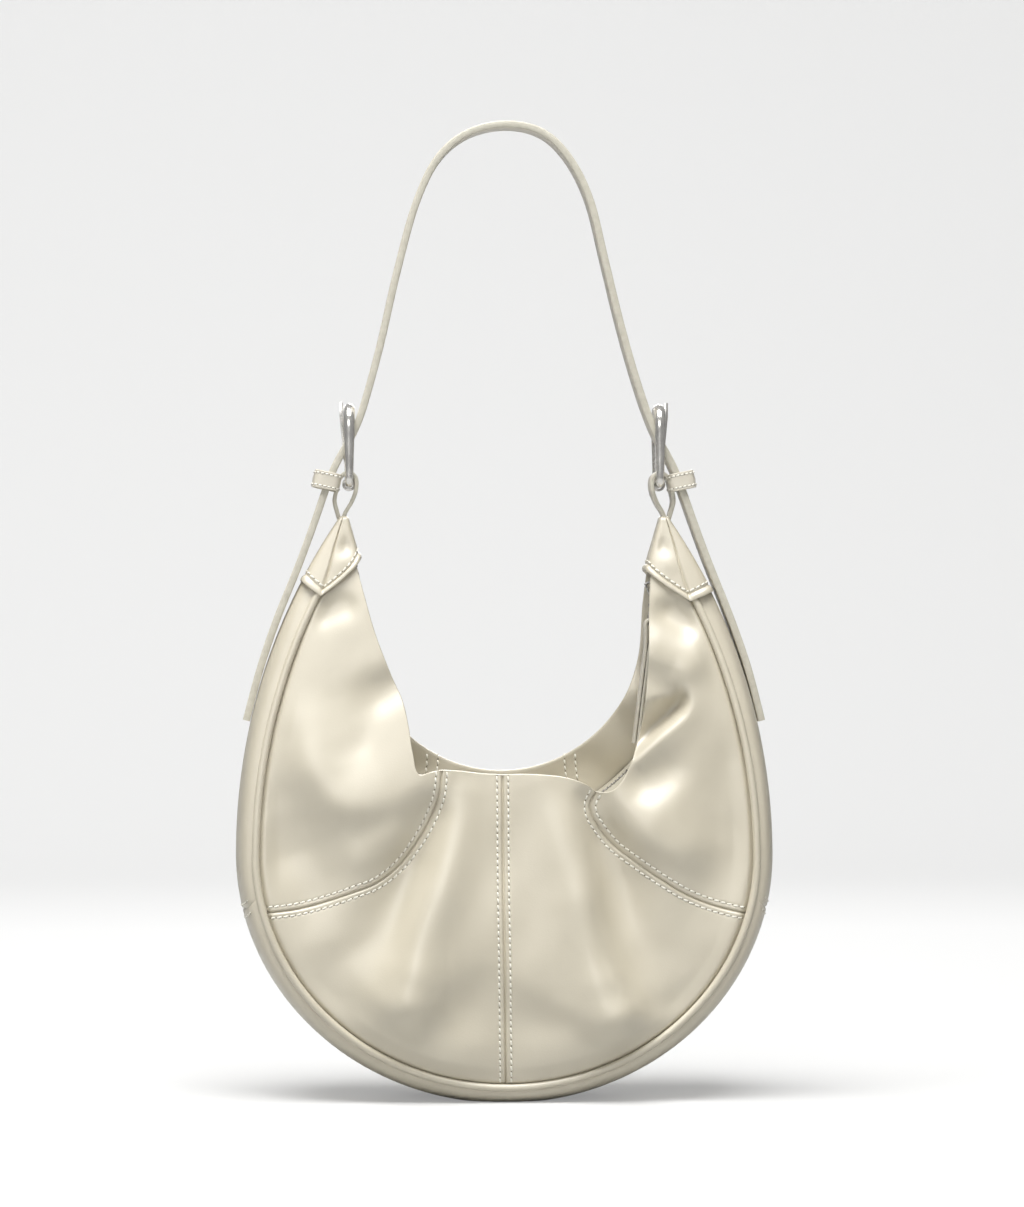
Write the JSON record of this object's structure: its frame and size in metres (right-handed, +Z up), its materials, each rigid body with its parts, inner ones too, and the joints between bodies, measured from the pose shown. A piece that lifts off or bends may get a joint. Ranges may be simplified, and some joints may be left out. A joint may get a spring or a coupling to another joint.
{
  "type": "half moon shoulder bag",
  "caption": "Crescent leather shoulder bag with piped seams, recessed curved zip, capped horn tips and a strap held by prong buckles.",
  "frame": {"origin": "middle of the flat where the base stands on the floor", "axes": "+X to the bag's right seen from the front, +Y to its back, +Z up"},
  "size_m": [0.3094, 0.0909, 0.5676],
  "materials": {
    "body_leather": "smooth ivory nappa, soft sheen",
    "strap_leather": "smooth ivory nappa with painted edges",
    "lining_cloth": "plain woven cotton",
    "zip_tape": "woven polyester tape",
    "zip_metal": "polished nickel plate",
    "buckle_nickel": "polished nickel plate"
  },
  "bodies": {
    "bag": {"front_lower_left_panel": "body_leather", "front_lower_right_panel": "body_leather", "front_upper_left_panel": "body_leather", "front_upper_right_panel": "body_leather", "back_lower_left_panel": "body_leather", "back_lower_right_panel": "body_leather", "back_upper_left_panel": "body_leather", "back_upper_right_panel": "body_leather", "gusset_base": "body_leather", "gusset_left": "body_leather", "gusset_right": "body_leather", "front_piping": "body_leather", "back_piping": "body_leather", "front_facing": "body_leather", "back_facing": "body_leather", "horn_cap_left": "body_leather", "horn_cap_right": "body_leather", "lining_front": "lining_cloth", "lining_back": "lining_cloth", "lining_gusset": "lining_cloth", "zip_tape_front": "zip_tape", "zip_tape_back": "zip_tape", "zip_teeth_front": "zip_metal", "zip_teeth_back": "zip_metal", "zip_end_stops": "zip_metal"},
    "slider": {"zip_slider": "zip_metal"},
    "ring": {"pull_ring": "zip_metal"},
    "pull": {"pull_clip": "zip_metal", "pull_tab": "strap_leather"},
    "handle": {"strap": "strap_leather", "buckle_tab_left": "strap_leather", "buckle_tab_right": "strap_leather", "strap_keeper_left": "strap_leather", "strap_keeper_right": "strap_leather", "buckle_frame_left": "buckle_nickel", "buckle_frame_right": "buckle_nickel"},
    "prong_left": {"buckle_prong_left": "buckle_nickel"},
    "prong_right": {"buckle_prong_right": "buckle_nickel"}
  },
  "joints": [
    {"name": "zip_slide", "type": "hinge", "parent": "bag", "child": "slider", "pos_m": [0, 0, 0.258], "axis": [0, 1, 0], "range_deg": [0, 225]},
    {"name": "ring_swing", "type": "hinge", "parent": "slider", "child": "ring", "pos_m": [0.08764, 0, 0.29413], "axis": [0, 1, 0], "range_deg": [0, 70]},
    {"name": "pull_swing", "type": "hinge", "parent": "ring", "child": "pull", "pos_m": [0.08659, 0, 0.28559], "axis": [0, 1, 0], "range_deg": [0, 40]},
    {"name": "strap_fold", "type": "hinge", "parent": "bag", "child": "handle", "pos_m": [0, 0, 0.3413], "axis": [1, 0, 0], "range_deg": [-90, 90]},
    {"name": "prong_left_lift", "type": "hinge", "parent": "handle", "child": "prong_left", "pos_m": [-0.09023, 0, 0.356], "axis": [0, -1, 0], "range_deg": [0, 12]},
    {"name": "prong_right_lift", "type": "hinge", "parent": "handle", "child": "prong_right", "pos_m": [0.09023, 0, 0.356], "axis": [0, 1, 0], "range_deg": [0, 12]}
  ]
}
